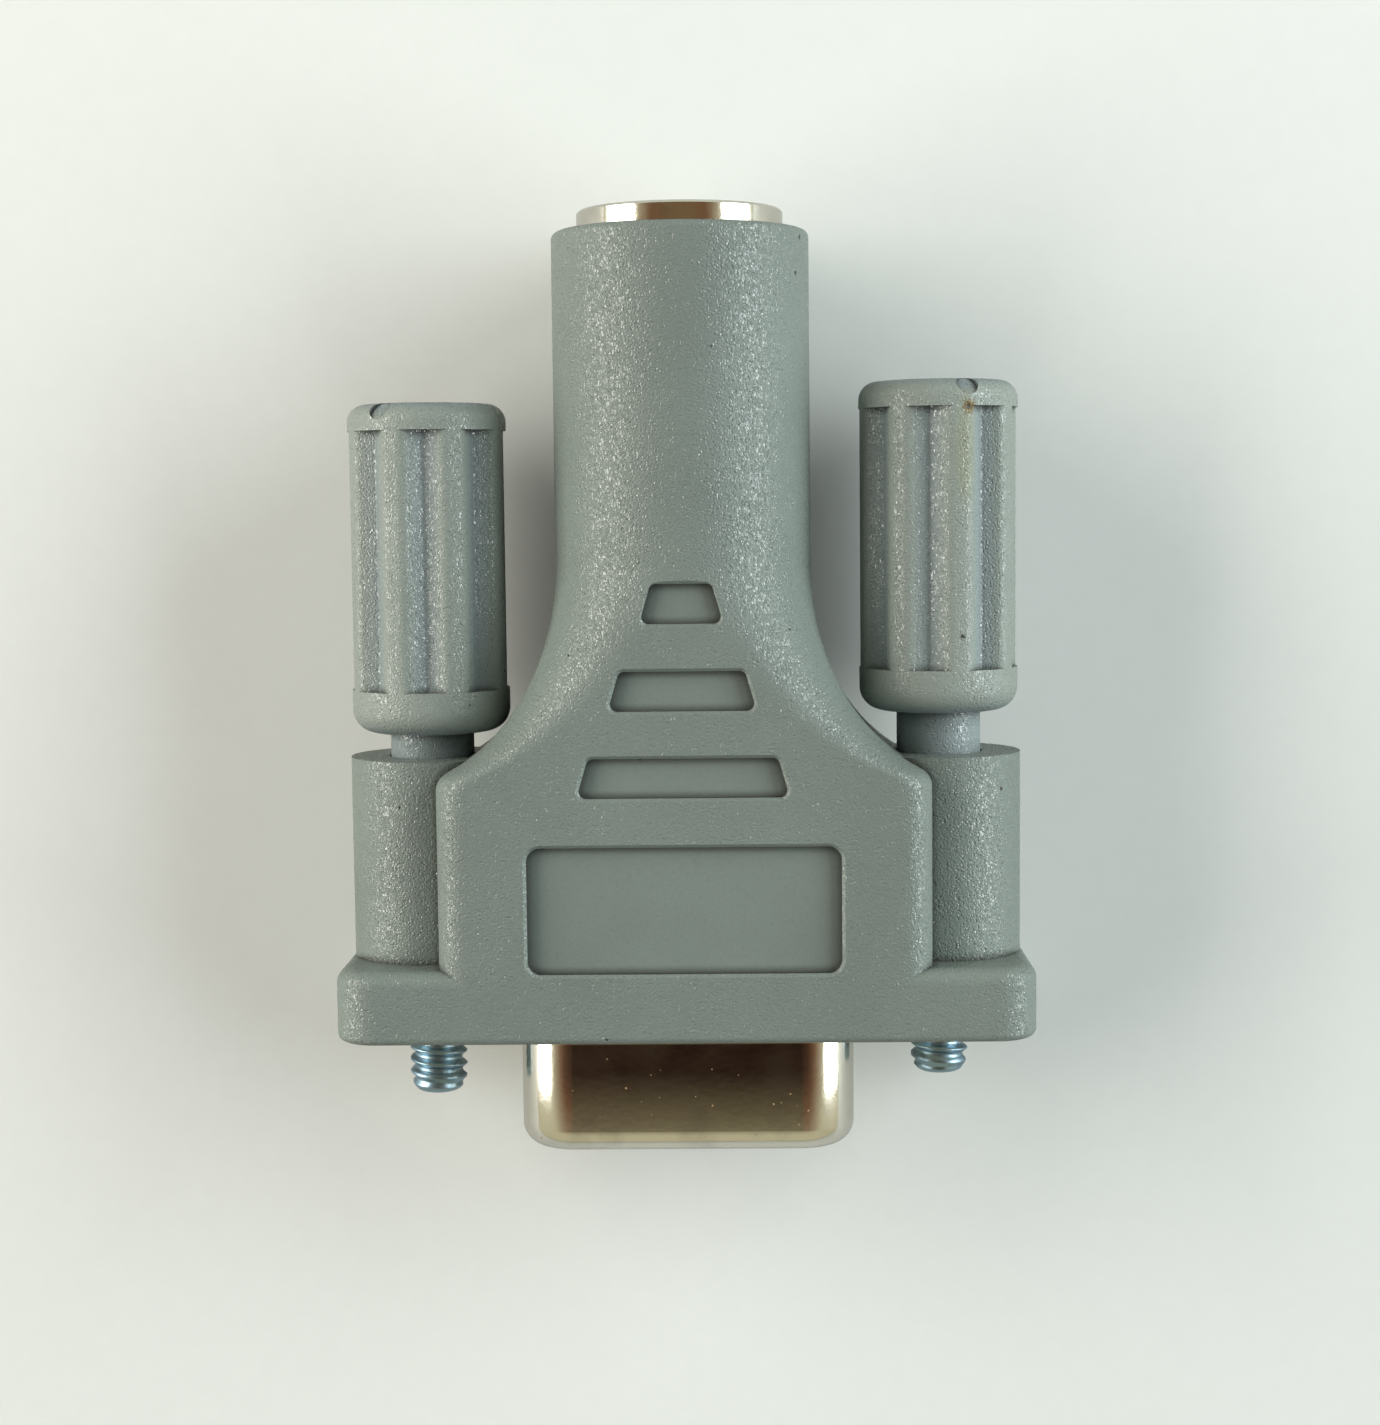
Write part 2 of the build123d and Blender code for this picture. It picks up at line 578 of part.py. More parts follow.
# Thumbscrews: a steel screw moulded into a fluted grip, whose neck turns in the hood's boss. The thread has
# its outer radius where it stands out as a stud, and its pitch radius behind the mating plane.
for side, x, draw, turn, gate_turn in THUMBSCREWS:
    tip = SCREW_TIP + draw
    near = GRIP_Y + draw
    far = near + GRIP_L
    with BuildPart() as screw:
        with BuildSketch(across(0, x)):
            Circle(SCREW_R)
        extrude(amount=-tip)
        fillet(screw.faces().sort_by(Axis.Y)[0].edges(), SCREW_TIP_R)
        with BuildSketch(across(tip + THREAD_L, x)):
            Circle(THREAD_PITCH_R)
        extrude(amount=tip + THREAD_L)
        with BuildSketch(across(near + SHANK_IN_GRIP, x)):
            Circle(SHANK_R)
        extrude(amount=near + SHANK_IN_GRIP - tip - THREAD_L)
    keep(screw.part, f"{side}_screw")

    with BuildPart() as grip:
        with BuildSketch(across(near + NEAR_COLLAR_L, x)):
            Circle(GRIP_R)
        extrude(amount=NEAR_COLLAR_L)
        fillet(grip.faces().sort_by(Axis.Y)[0].edges(), NEAR_ROUND)
        with BuildSketch(across(far - FAR_COLLAR_L, x)) as fluted:
            Circle(GRIP_R)
            with PolarLocations(GRIP_R - FLUTE_DEPTH, FLUTES, start_angle=90 - turn):
                Polygon(
                    (0, 0),
                    (2 * FLUTE_RISE, 2 * FLUTE_SPREAD),
                    (2 * FLUTE_RISE, -2 * FLUTE_SPREAD),
                    align=None,
                    mode=Mode.SUBTRACT,
                )
            valleys = fluted.vertices().group_by(lambda corner: Vector(corner.X, corner.Y).length)[0]
            fillet(valleys, FLUTE_VALLEY_R)
            land_edges = fluted.vertices().group_by(lambda corner: Vector(corner.X, corner.Y).length)[-1]
            fillet(land_edges, FLUTE_EDGE_R)
        extrude(amount=GRIP_L - NEAR_COLLAR_L - FAR_COLLAR_L)
        with BuildSketch(across(far, x)):
            Circle(GRIP_R)
        extrude(amount=FAR_COLLAR_L)
        fillet(grip.faces().sort_by(Axis.Y)[-1].edges(), FAR_ROUND)
        outward = Vector(sin(radians(gate_turn)), 0, cos(radians(gate_turn)))
        gate_way = outward * cos(radians(GATE_LEAN)) + Vector(0, sin(radians(GATE_LEAN)), 0)
        gate_centre = Vector(x, far - FAR_ROUND, 0) + outward * (GRIP_R - FAR_ROUND)
        with BuildSketch(Plane(gate_centre + gate_way * (FAR_ROUND - GATE_DEPTH), z_dir=gate_way)):
            Circle(GATE_R)
        extrude(amount=2 * GATE_DEPTH, mode=Mode.SUBTRACT)
        with BuildSketch(across(near, x)):
            Circle(NECK_R)
        extrude(amount=NECK_L)
        add(screw.part, mode=Mode.SUBTRACT)
    keep(grip.part, f"{side}_grip")
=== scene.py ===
"""Finishes the serial mouse adapter: moulded plastic, plated metal, threaded screws and a studio."""

import bpy
import numpy as np
from mathutils import Matrix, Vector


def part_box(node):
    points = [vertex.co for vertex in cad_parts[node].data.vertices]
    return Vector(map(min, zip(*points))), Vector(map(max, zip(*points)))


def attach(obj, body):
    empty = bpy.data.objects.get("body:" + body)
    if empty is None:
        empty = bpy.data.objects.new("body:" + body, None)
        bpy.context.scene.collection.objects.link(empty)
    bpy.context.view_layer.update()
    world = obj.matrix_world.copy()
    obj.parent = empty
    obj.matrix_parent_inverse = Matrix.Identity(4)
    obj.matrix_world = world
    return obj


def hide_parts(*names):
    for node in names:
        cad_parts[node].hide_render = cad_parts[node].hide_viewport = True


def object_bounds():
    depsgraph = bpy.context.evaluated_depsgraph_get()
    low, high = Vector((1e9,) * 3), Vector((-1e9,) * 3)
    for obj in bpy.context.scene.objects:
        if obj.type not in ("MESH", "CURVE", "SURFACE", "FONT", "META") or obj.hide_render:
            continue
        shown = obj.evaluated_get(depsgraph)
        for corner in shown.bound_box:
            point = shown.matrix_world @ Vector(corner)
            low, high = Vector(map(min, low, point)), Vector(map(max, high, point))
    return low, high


bl_info = {
    "name": "Serial mouse adapter",
    "version": (1, 0, 0),
    "blender": (4, 5, 0),
    "location": "3D View > Sidebar > Adapter",
    "description": "Finishes a moulded serial mouse adapter and sets up its studio",
    "category": "Object",
}

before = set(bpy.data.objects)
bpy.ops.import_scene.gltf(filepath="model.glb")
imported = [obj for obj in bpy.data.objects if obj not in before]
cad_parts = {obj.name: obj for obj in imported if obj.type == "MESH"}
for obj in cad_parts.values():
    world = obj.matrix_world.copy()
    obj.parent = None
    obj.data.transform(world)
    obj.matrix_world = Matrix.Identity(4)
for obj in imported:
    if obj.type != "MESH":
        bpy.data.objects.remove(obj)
CAD_BOX = [list(corner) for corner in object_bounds()]
MM = 0.001

GRIPS = ("left_grip", "right_grip")
SCREWS = ("left_screw", "right_screw")
PLATED = ("dsub_rear_shell", "din_shield", "left_eyelet", "right_eyelet")
INSULATORS = ("dsub_front_insulator", "dsub_rear_insulator", "din_insulator", "din_base")
CONTACTS = tuple(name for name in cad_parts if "_contact_" in name)
WIRES = {
    "wire_receive": (0.45, 0.03, 0.03),
    "wire_transmit": (0.55, 0.42, 0.04),
    "wire_ready": (0.04, 0.22, 0.07),
    "wire_ground": (0.02, 0.02, 0.02),
    "wire_request": (0.62, 0.62, 0.6),
}

# The hood's windows, in millimetres: heights just under and over their floors, and where they lie
WINDOW_FLOOR_LOW, WINDOW_FLOOR_HIGH = 5.6, 5.9
WINDOW_SIDE = 8.5
WINDOW_START = 2.0

# The grips, in millimetres: how far their axes lie from the middle, and radii in a flute and on a ridge
GRIP_AXIS = 12.495
FLUTE_RADIUS, RIDGE_RADIUS = 3.35, 3.75

# The D nose: where it starts to curl in, in millimetres, and its height per squared distance, in metres
NOSE_CURL_START = -1.8
NOSE_CURL = 28.0

# Stains: middle and radius in millimetres, how many times longer along Y, and colour
HOOD_STAINS = (
    ((5.75, 38.1, 2.45), 0.13, 1.0, (0.02, 0.03, 0.02)),
    ((5.53, 36.4, 2.9), 0.12, 1.0, (0.02, 0.03, 0.02)),
)
GRIP_STAINS = (
    ((13.5, 28.0, 3.73), 0.55, 5.0, (0.272, 0.292, 0.215)),
    ((13.69, 29.98, 3.68), 0.36, 1.0, (0.19, 0.13, 0.035)),
    ((13.66, 29.98, 3.69), 0.15, 1.0, (0.02, 0.012, 0.005)),
    ((13.35, 19.1, 3.77), 0.13, 1.0, (0.015, 0.015, 0.012)),
)

# How finely a screw is divided
SCREW_COLUMNS = 64
ROWS_PER_TURN = 14
TIP_ROWS = 12

# Scales of noise textures, per metre
PLASTIC_CLOUDS = 160.0
PAPER_CLOUDS = 900.0
STAIN_EDGES = 9000.0

# The photograph's camera: place in millimetres, turns about X, Y and Z in radians
CAMERA_PLACE = (2.4365, 25.7259, 119.1417)
CAMERA_TURNS = (0.0876, -0.0182, 0.0092)

# Its focal length and the photograph's height in pixels, and the sensor's height in millimetres
FOCAL_LENGTH = 2422.2
PHOTO_HEIGHT = 1425.0
SENSOR_HEIGHT = 36.0

# Half the floor's side, in metres
FLOOR_REACH = 2.0


def colour(name, description, default):
    """A colour setting without alpha."""
    return bpy.props.FloatVectorProperty(
        name=name, description=description, default=default, size=3, min=0.0, max=1.0, subtype="COLOR"
    )


def length(name, description, millimetres):
    """A length setting, given here in millimetres and kept in metres."""
    default = millimetres * MM
    return bpy.props.FloatProperty(
        name=name, description=description, default=default, min=0.0, subtype="DISTANCE", unit="LENGTH"
    )


def share(name, description, default):
    """A setting from 0 to 1."""
    return bpy.props.FloatProperty(
        name=name, description=description, default=default, min=0.0, max=1.0, subtype="FACTOR"
    )


def angle(name, description, default):
    """An angle setting, in radians."""
    return bpy.props.FloatProperty(name=name, description=description, default=default, subtype="ANGLE")


class AdapterPlasticSettings(bpy.types.PropertyGroup):
    """Colours and grain of the moulded plastics."""

    hood_colour: colour("Hood colour", "Colour of the moulded hood", (0.195, 0.232, 0.206))
    grip_colour: colour("Grip colour", "Colour of the grips' collars and ridges", (0.272, 0.31, 0.274))
    # Painted shade: the flutes' colour is darker and bluer than the ridges'
    flute_shade_colour: colour("Flute shade colour", "Colour painted on the grips' flutes as shade, darker and bluer than the ridges", (0.238, 0.285, 0.28))
    # This colour serves the plastic's real dark specks and also the painted shade on the windows' walls and
    # in corners
    dirt_and_shade_colour: colour("Dirt and shade colour", "Colour of the specks, and of the painted shade in corners and on the windows' walls", (0.03, 0.028, 0.022))
    inner_colour: colour("Inner block colour", "Colour of the block round the joints", (0.66, 0.64, 0.56))
    insulator_colour: colour("Insulator colour", "Colour of the contact insulators", (0.018, 0.018, 0.02))
    grain_size: length("Grain size", "Size of the blasted grain", 0.11)
    grain_depth: length("Grain depth", "Depth of the blasted grain", 0.044)
    speck_spacing: length("Speck spacing", "Distance between the places that may have a speck", 1.7)
    speck_size: length("Speck size", "Radius of the largest specks", 0.11)
    # Reach of the painted shade in corners
    corner_shade_reach: length("Corner shade reach", "How far the painted shade reaches out of a corner", 0.4)
    roughness: share("Roughness", "Roughness under the sparkles of the grain", 0.5)


class AdapterMetalSettings(bpy.types.PropertyGroup):
    """Colours of the metals and sizes of the screw thread."""

    nickel_colour: colour("Nickel colour", "Colour of the plated shells and the ring", (0.80, 0.77, 0.68))
    nickel_roughness: share("Nickel roughness", "Roughness of the plated shells and the ring", 0.08)
    dust_colour: colour("Dust colour", "Colour of the rusty dust on the drawn shell", (0.42, 0.27, 0.13))
    dust_spacing: length("Dust spacing", "Distance between the places that may have dust", 0.42)
    zinc_colour: colour("Zinc colour", "Colour of the zinc-plated screws", (0.28, 0.405, 0.49))
    contact_colour: colour("Contact colour", "Colour of the contacts", (0.83, 0.62, 0.30))
    thread_pitch: length("Thread pitch", "Distance from one thread crest to the next", 0.635)
    thread_depth: length("Thread depth", "Height of the thread's crest over its root", 0.25)
    thread_reach: length("Thread length", "Length of the threaded end", 6.0)
    shank: length("Shank radius", "Radius of the screw behind its thread", 1.05)
    tip_round: length("Tip rounding", "Height of the rounding at the screw's tip", 0.6)
    tip_length: length("Tip length", "Length of the rounding at the screw's tip", 1.0)


class AdapterStageSettings(bpy.types.PropertyGroup):
    """Floor, lamps and what the metal mirrors."""

    floor_colour: colour("Floor colour", "Colour of the floor as the camera sees it", (0.84, 0.86, 0.81))
    bounce_colour: colour("Bounce colour", "Colour of the floor as it throws light", (0.16, 0.16, 0.14))
    lamp_energy: bpy.props.FloatProperty(
        name="Lamp power", description="Power of each lamp", default=1.96, min=0.0, unit="POWER"
    )
    lamp_aim: length("Lamp aim", "Place along the adapter that the lamps face", 17.0)
    lamp_reach: length("Lamp distance", "Distance of each lamp from the adapter", 350.0)
    lamp_width: length("Lamp width", "Width of each lamp", 215.0)
    lamp_length: length("Lamp length", "Length of each lamp along the adapter", 430.0)
    lamp_angle: angle("Lamp angle", "Angle of each lamp off the vertical", 1.17)
    lamp_swing: angle("Lamp swing", "Angle of each lamp towards the round socket", 0.2)
    left_lamp_colour: colour("Left lamp colour", "Colour of the lamp on the left", (1.0, 0.97, 0.92))
    right_lamp_colour: colour("Right lamp colour", "Colour of the lamp on the right", (0.91, 0.98, 1.0))
    fill: share("Fill", "Strength of the light from all round", 0.05)
    under_fill: share("Fill from below", "Strength of the light from under the floor", 0.8)
    low_mirrored: colour("Mirrored low down", "What metal mirrors near the floor", (0.52, 0.49, 0.34))
    high_mirrored: colour("Mirrored high up", "What metal mirrors above that", (0.14, 0.12, 0.07))
    side_mirrored: colour("Mirrored aside", "What metal mirrors high up aside", (0.17, 0.085, 0.045))
    near_mirrored: colour("Mirrored near", "What it mirrors overhead by the D socket", (0.012, 0.003, 0.002))
    far_mirrored: colour("Mirrored far", "What it mirrors overhead by the round socket", (0.18, 0.12, 0.062))


def settings(kind):
    """The scene's settings of one kind: plastic, metal or stage."""
    return getattr(bpy.context.scene, "adapter_" + kind)


def shaded(tint, factor=1.0):
    """A colour made lighter or darker by a factor, and opaque."""
    return (*(v * factor for v in tint), 1.0)


class Nodes:
    """Short calls for building a node tree."""

    def __init__(self, tree):
        self.tree = tree

    def add(self, kind, inputs=None, **fields):
        """Adds a node, sets its fields, and feeds each named or numbered input by a value or a socket."""
        node = self.tree.nodes.new(kind)
        for field, value in fields.items():
            setattr(node, field, value)
        for key, value in (inputs or {}).items():
            socket = node.inputs[key]
            if isinstance(value, bpy.types.NodeSocket):
                self.tree.links.new(value, socket)
            else:
                socket.default_value = value
        return node

    def math(self, operation, *values):
        """Adds a Math node over values or sockets and returns its result."""
        return self.add("ShaderNodeMath", dict(enumerate(values)), operation=operation).outputs[0]

    def every(self, *masks):
        """Multiplies masks and returns the result, which is 1 where all of them are."""
        result = masks[0]
        for mask in masks[1:]:
            result = self.math("MULTIPLY", result, mask)
        return result

    def mix(self, factor, first, second):
        """Adds a Mix node, whose sockets 6 and 7 are its two colours, and returns its result."""
        node = self.add("ShaderNodeMix", {0: factor, 6: first, 7: second}, data_type="RGBA")
        return node.outputs[2]

    def ramp(self, value, low, high, to_low=0.0, to_high=1.0):
        """Adds a clamped linear step from one value to another and returns its result."""
        node = self.add("ShaderNodeMapRange", {0: value, 1: low, 2: high, 3: to_low, 4: to_high})
        return node.outputs[0]

    def fade(self, value, low, high, first, second):
        """Mixes two colours as a value goes from low to high, and returns the result."""
        return self.mix(self.ramp(value, low, high), first, second)

    def split(self, vector):
        """Adds a Separate XYZ node and returns its three results."""
        return self.add("ShaderNodeSeparateXYZ", {0: vector}).outputs

    def vector(self, operation, *values):
        """Adds a Vector Math node over vectors and returns its results."""
        return self.add("ShaderNodeVectorMath", dict(enumerate(values)), operation=operation).outputs

    def place(self):
        """Adds a Texture Coordinate node and returns the place on the object."""
        return self.add("ShaderNodeTexCoord").outputs["Object"]

    def noise(self, place, scale, detail=2.0):
        """Adds a Noise Texture and returns its value."""
        inputs = {"Vector": place, "Scale": scale, "Detail": detail}
        return self.add("ShaderNodeTexNoise", inputs).outputs[0]

    def cells(self, place, scale):
        """Adds a Voronoi Texture and returns the distance from a cell's middle and its random numbers."""
        texture = self.add("ShaderNodeTexVoronoi", {"Vector": place, "Scale": scale}).outputs
        return texture["Distance"], self.split(texture["Color"])

    def bump(self, height, distance, strength=1.0):
        """Adds a Bump node and returns its normal."""
        inputs = {"Strength": strength, "Distance": distance, "Height": height}
        return self.add("ShaderNodeBump", inputs).outputs[0]

    def group(self, tree, inputs):
        """Adds a node group and returns its results."""
        return self.add("ShaderNodeGroup", inputs, node_tree=tree).outputs

    def close(self, **inputs):
        """Ends a material with a Principled BSDF that takes the inputs, whose names have _ for a space."""
        inputs = {key.replace("_", " "): value for key, value in inputs.items()}
        shader = self.add("ShaderNodeBsdfPrincipled", inputs)
        self.add("ShaderNodeOutputMaterial", {"Surface": shader.outputs[0]})


def new_group(name, inputs, outputs):
    """Makes an empty shader node group with the named number sockets."""
    group = bpy.data.node_groups.new(name, "ShaderNodeTree")
    for label in inputs:
        group.interface.new_socket(label, in_out="INPUT", socket_type="NodeSocketFloat")
    for label in outputs:
        group.interface.new_socket(label, in_out="OUTPUT", socket_type="NodeSocketFloat")
    return group


def blasted_grain():
    """Group for the hood's and grips' surface: its blasted grain, and masks of its specks and of painted
    shade.

    The height is a fine noise plus a field of small domes, one in each cell of the grain's size, which
    fall by the square of the distance from the cell's middle. Most are shallow and a few are steep, by a
    power of a random number for each cell, and a higher power of another number makes a few of them
    sparkle. The height is nearly flat where the surface is a window's floor.
    The specks are the middles of large cells: half of the cells have one, of a random size.
    The painted shade lies on the steep faces above the windows' floors, clear of the flange and the sides:
    these are the windows' walls and the upper edge of the barrel's end.
    """
    group = bpy.data.node_groups.get("blasted_grain")
    if group:
        return group
    group = new_group(
        "blasted_grain",
        inputs=("Size", "Speck spacing", "Speck size", "Floor low", "Floor high"),
        outputs=("Height", "Speck", "Mottle", "Polish", "Sparkle", "Painted shade"),
    )
    n = Nodes(group)
    ends = n.add("NodeGroupInput").outputs
    coordinates = n.add("ShaderNodeTexCoord").outputs
    place = coordinates["Object"]
    frequency = n.math("DIVIDE", 1.0, ends["Size"])
    distance, chance = n.cells(place, frequency)
    steep = n.math("MULTIPLY_ADD", n.math("POWER", chance["X"], 1.5), 0.8, 0.2)
    sparkle = n.math("POWER", chance["Y"], 3.5)
    dome = n.math("MULTIPLY", n.math("POWER", distance, 2.0), steep)
    fine = n.noise(place, n.math("MULTIPLY", frequency, 0.6))
    height = n.math("MULTIPLY_ADD", fine, 0.3, n.math("MULTIPLY", dome, -1.25))

    facing_up = n.split(coordinates["Normal"])["Z"]
    spot = n.split(place)
    above = n.math("GREATER_THAN", spot["Z"], ends["Floor low"])
    below = n.math("LESS_THAN", spot["Z"], ends["Floor high"])
    beside = n.math("LESS_THAN", n.math("ABSOLUTE", spot["X"]), WINDOW_SIDE * MM)
    beyond = n.math("GREATER_THAN", spot["Y"], WINDOW_START * MM)
    steep_face = n.math("LESS_THAN", facing_up, 0.5)
    level_face = n.math("GREATER_THAN", facing_up, 0.98)
    # Painted shade: steep faces above the windows' floors (the windows' walls and the barrel end's upper
    # edge) are painted dark
    painted_shade = n.every(steep_face, above, beside, beyond)
    polish = n.every(level_face, above, below)
    height = n.math("MULTIPLY", height, n.ramp(polish, 0.0, 1.0, 1.0, 0.12))

    distance, chosen = n.cells(place, n.math("DIVIDE", 1.0, ends["Speck spacing"]))
    distance = n.math("MULTIPLY", distance, ends["Speck spacing"])
    size = n.math("MULTIPLY", ends["Speck size"], n.ramp(chosen["X"], 0.5, 1.0))
    results = {
        "Height": height,
        "Speck": n.math("LESS_THAN", distance, size),
        "Mottle": n.noise(place, PLASTIC_CLOUDS, detail=3.0),
        "Polish": polish,
        "Sparkle": sparkle,
        "Painted shade": painted_shade,
    }
    n.add("NodeGroupOutput", results)
    return group


def fine_wear():
    """Group for metals and smooth plastics: a fine uneven height, dull patches and a changing roughness.

    The roughness goes from low to high by a noise about eight times coarser than the height's, and the
    patches are where that noise is strongest.
    """
    group = bpy.data.node_groups.get("fine_wear")
    if group:
        return group
    group = new_group(
        "fine_wear",
        inputs=("Size", "Low roughness", "High roughness"),
        outputs=("Height", "Roughness", "Tarnish"),
    )
    n = Nodes(group)
    ends = n.add("NodeGroupInput").outputs
    place = n.place()
    frequency = n.math("DIVIDE", 1.0, ends["Size"])
    slow = n.noise(place, n.math("MULTIPLY", frequency, 0.12), detail=3.0)
    rise = n.math("SUBTRACT", ends["High roughness"], ends["Low roughness"])
    results = {
        "Height": n.noise(place, frequency),
        "Roughness": n.math("MULTIPLY_ADD", n.ramp(slow, 0.35, 0.65), rise, ends["Low roughness"]),
        "Tarnish": n.ramp(slow, 0.52, 0.72),
    }
    n.add("NodeGroupOutput", results)
    return group


def new_material(name):
    """Makes an empty node material and returns it with its node calls."""
    material = bpy.data.materials.new(name)
    material.use_nodes = True
    material.node_tree.nodes.clear()
    return material, Nodes(material.node_tree)


def stained(n, base, stains):
    """Lays stains over a colour and returns the result.

    A stain is full within about half its radius and gone a quarter beyond it. The distance from its middle
    counts for less along Y by its stretch, and a fine noise makes its edge uneven.
    """
    place = n.place()
    uneven = n.noise(place, STAIN_EDGES)
    for middle, radius, stretch, tint in stains:
        middle = [v * MM for v in middle]
        radius = radius * MM
        offset = n.vector("SUBTRACT", place, middle)[0]
        offset = n.vector("MULTIPLY", offset, (1.0, 1.0 / stretch, 1.0))[0]
        distance = n.vector("LENGTH", offset)["Value"]
        distance = n.math("MULTIPLY_ADD", uneven, radius, distance)
        strength = n.ramp(distance, radius, 1.75 * radius, 1.0, 0.0)
        base = n.mix(strength, base, shaded(tint))
    return base


def paint_flute_shade(n, base, flute_shade_tint):
    """Paints a grip's flutes darker and bluer than its ridges as painted shade, by the distance from its
    axis, and returns the result.
    """
    spot = n.split(n.place())
    beside = n.math("SUBTRACT", n.math("ABSOLUTE", spot["X"]), GRIP_AXIS * MM)
    squares = n.math("ADD", n.math("MULTIPLY", beside, beside), n.math("MULTIPLY", spot["Z"], spot["Z"]))
    radius = n.math("SQRT", squares)
    return n.fade(radius, FLUTE_RADIUS * MM, RIDGE_RADIUS * MM, shaded(flute_shade_tint), base)


def moulded_plastic(name, tint, stains, flute_shade_tint=None):
    """Blasted plastic with sparkles, faint clouds, painted shade in its corners and on the windows' walls,
    dark specks and its own stains.

    The painted shade in corners starts where a corner hides a tenth of its surroundings, and is full where
    it hides half.
    """
    plastic = settings("plastic")
    material, n = new_material(name)
    values = {
        "Size": plastic.grain_size,
        "Speck spacing": plastic.speck_spacing,
        "Speck size": plastic.speck_size,
        "Floor low": WINDOW_FLOOR_LOW * MM,
        "Floor high": WINDOW_FLOOR_HIGH * MM,
    }
    grain = n.group(blasted_grain(), values)
    base = n.fade(grain["Mottle"], 0.3, 0.7, shaded(tint, 0.95), shaded(tint, 1.05))
    # Painted shade: on the grips the flutes are painted darker and bluer than the ridges
    if flute_shade_tint:
        base = paint_flute_shade(n, base, flute_shade_tint)
    reach = {"Distance": plastic.corner_shade_reach}
    # Painted shade: darker where ambient occlusion finds the surface hidden in a corner or crease
    corner = n.add("ShaderNodeAmbientOcclusion", reach, samples=3, only_local=True).outputs["AO"]
    # The painted shade of the walls and corners is laid in the dirt colour, at most 85 % of the way; the
    # specks after it are the plastic's own
    painted_shade = n.math("MAXIMUM", grain["Painted shade"], n.ramp(corner, 0.9, 0.5))
    base = n.mix(n.math("MULTIPLY", painted_shade, 0.85), base, shaded(plastic.dirt_and_shade_colour))
    base = n.mix(grain["Speck"], base, shaded(plastic.dirt_and_shade_colour))
    base = stained(n, base, stains)
    rough = n.math("MULTIPLY_ADD", grain["Polish"], 0.12, plastic.roughness)
    normal = n.bump(grain["Height"], plastic.grain_depth)
    n.close(
        Base_Color=base,
        Roughness=rough,
        IOR=1.38,
        Coat_Weight=grain["Sparkle"],
        Coat_Roughness=0.1,
        Coat_IOR=1.68,
        Normal=normal,
        Coat_Normal=normal,
    )
    return material


def worn(n, tint, roughness, rise, size, dull):
    """Base colour, roughness and height of a surface with fine wear.

    Its roughness rises by at most rise, its unevenness has the given size, and its patches are duller by a
    factor.
    """
    values = {"Size": size, "Low roughness": roughness, "High roughness": roughness + rise}
    wear = n.group(fine_wear(), values)
    base = n.mix(wear["Tarnish"], shaded(tint), shaded(tint, dull))
    return base, wear["Roughness"], wear["Height"]


def plain_plastic(name, tint, roughness):
    """Smooth plastic with faint clouds and a fine uneven surface."""
    material, n = new_material(name)
    base, rough, height = worn(n, tint, roughness, rise=0.15, size=0.25 * MM, dull=0.85)
    n.close(Base_Color=base, Roughness=rough, IOR=1.5, Normal=n.bump(height, 0.004 * MM, strength=0.3))
    return material


def plated_metal(name, tint, roughness, size, depth, dull):
    """Plated metal with a fine unevenness of the given size and depth, and duller patches."""
    material, n = new_material(name)
    base, rough, height = worn(n, tint, roughness, rise=0.06, size=size, dull=dull)
    n.close(Base_Color=base, Metallic=1.0, Roughness=rough, Normal=n.bump(height, depth))
    return material


def drawn_metal(name, tint, roughness, size, depth, dull):
    """Plated metal of the D nose, which curls in towards its lip and has tiny grains of rusty dust.

    For the curl, the height falls by the square of the distance beyond its start. A grain of dust is the
    middle of a cell: nearly half of the cells have one, of a random size.
    """
    metal = settings("metal")
    material, n = new_material(name)
    base, rough, height = worn(n, tint, roughness, rise=0.06, size=size, dull=dull)
    beyond = n.math("SUBTRACT", NOSE_CURL_START * MM, n.split(n.place())["Y"])
    beyond = n.math("MAXIMUM", beyond, 0.0)
    curl = n.math("MULTIPLY", n.math("MULTIPLY", beyond, beyond), NOSE_CURL)
    height = n.math("SUBTRACT", n.math("MULTIPLY", height, depth), curl)

    distance, chance = n.cells(n.place(), 1.0 / metal.dust_spacing)
    dust = n.math("LESS_THAN", distance, n.ramp(chance["X"], 0.55, 1.0, 0.0, 0.14))
    base = n.mix(dust, base, shaded(metal.dust_colour))
    metallic = n.math("SUBTRACT", 1.0, dust)
    rough = n.math("MAXIMUM", rough, n.math("MULTIPLY", dust, 0.8))
    n.close(Base_Color=base, Metallic=metallic, Roughness=rough, Normal=n.bump(height, 1.0))
    return material


def finish_node(name, material):
    """Puts a material on a node of the frame."""
    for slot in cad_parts[name].material_slots:
        slot.material = material


def mesh_piece(name, points, faces, material, body):
    """Makes a smooth mesh object from arrays of points and faces, and lets it ride on a body."""
    mesh = bpy.data.meshes.new(name)
    mesh.from_pydata(points.tolist(), [], faces)
    mesh.update()
    mesh.polygons.foreach_set("use_smooth", np.ones(len(mesh.polygons), dtype=bool))
    mesh.materials.append(material)
    piece = bpy.data.objects.new(name, mesh)
    bpy.context.scene.collection.objects.link(piece)
    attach(piece, body)
    return piece


